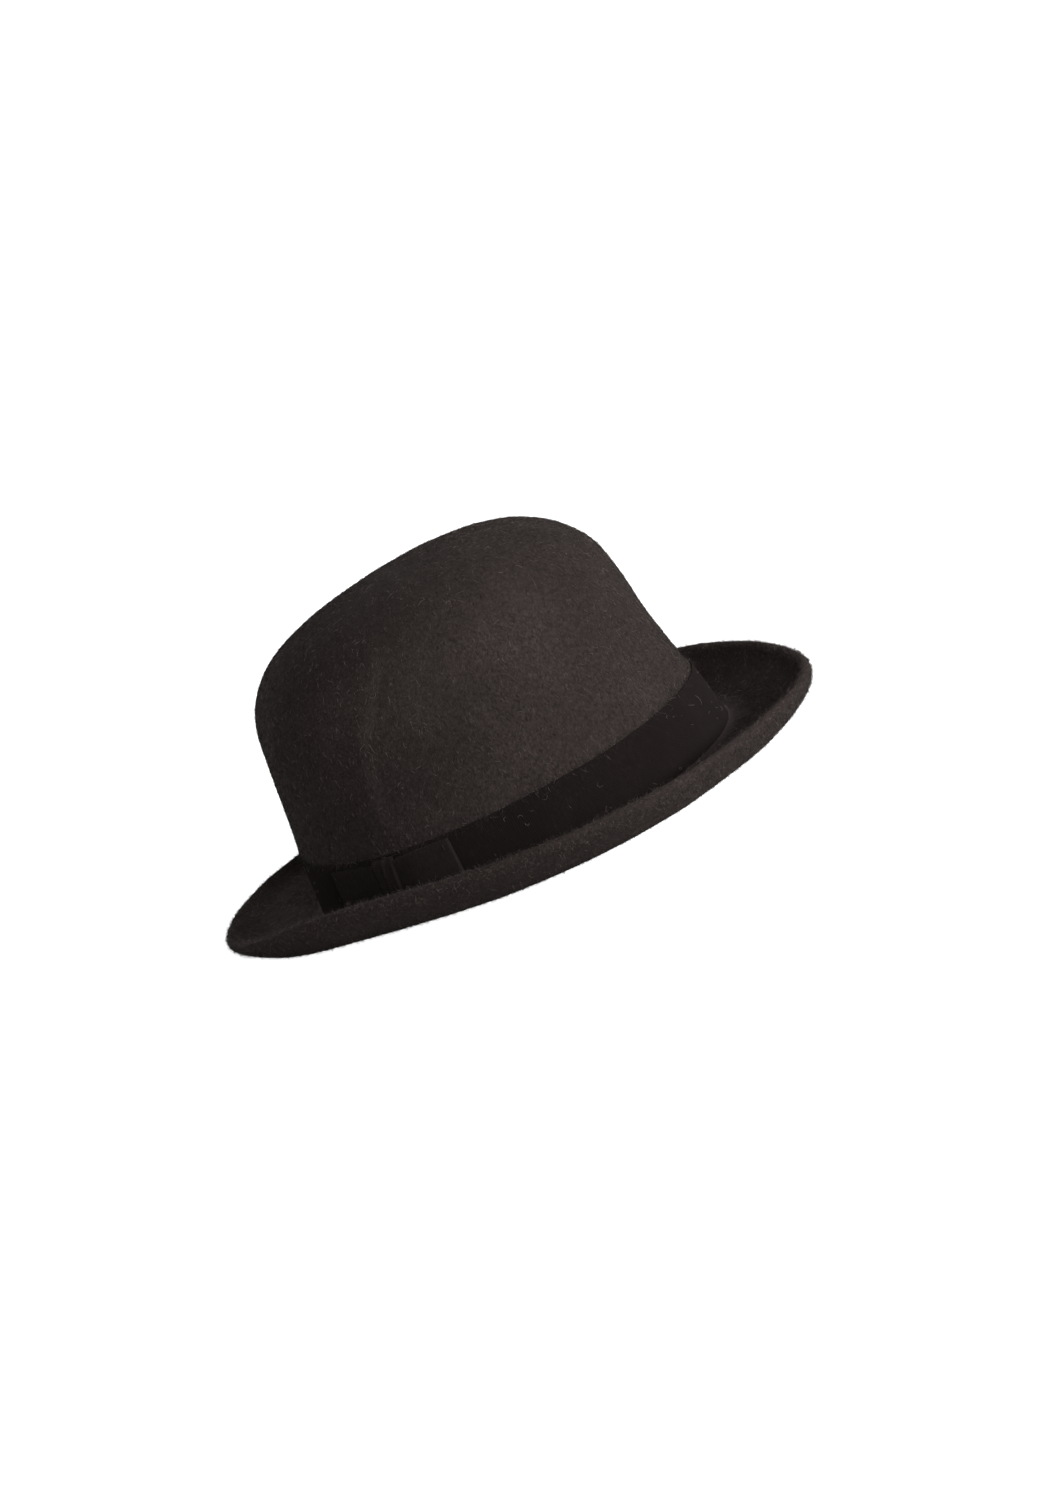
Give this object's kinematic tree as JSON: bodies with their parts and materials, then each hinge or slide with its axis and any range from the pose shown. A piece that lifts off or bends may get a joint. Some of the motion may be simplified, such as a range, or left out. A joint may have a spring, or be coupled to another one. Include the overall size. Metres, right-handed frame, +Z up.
{
  "type": "bowler hat",
  "caption": "Felt bowler hat with a rounded crown, a brim curled up at the sides, a ribbon band with a flat side bow, and a leather sweatband and satin lining inside.",
  "frame": {"origin": "centre of the bounding box, on the surface that the brim rests on", "axes": "+Z up through the crown, -Y towards the front of the hat, +X towards the wearer's left, where the bow is"},
  "size_m": [0.2296, 0.3048, 0.1255],
  "materials": {
    "felt": "brushed wool felt with a short nap",
    "ribbon": "ribbed grosgrain, matte",
    "bow_ribbon": "ribbed grosgrain, matte",
    "thread": "twisted thread",
    "inner_thread": "waxed thread",
    "leather": "smooth grain, satin",
    "reed": "smooth, matte",
    "tape": "plain weave",
    "label": "woven, blank",
    "satin": "satin weave, soft gloss",
    "cord": "covered piping",
    "film": "clear film"
  },
  "bodies": {
    "root": {"felt_body": "felt", "hatband": "ribbon", "bow_loop": "bow_ribbon", "bow_knot": "bow_ribbon", "band_tacks": "thread", "bow_tacks": "thread", "sweatband": "leather", "sweatband_reed": "reed", "reed_tape": "tape", "sweatband_stitches": "inner_thread", "sweatband_back_seam": "inner_thread", "sweatband_bow": "ribbon", "size_label": "label", "lining_wall": "satin", "lining_tip": "satin", "lining_seam_cord": "cord", "tip_protector": "film"}
  },
  "joints": []
}
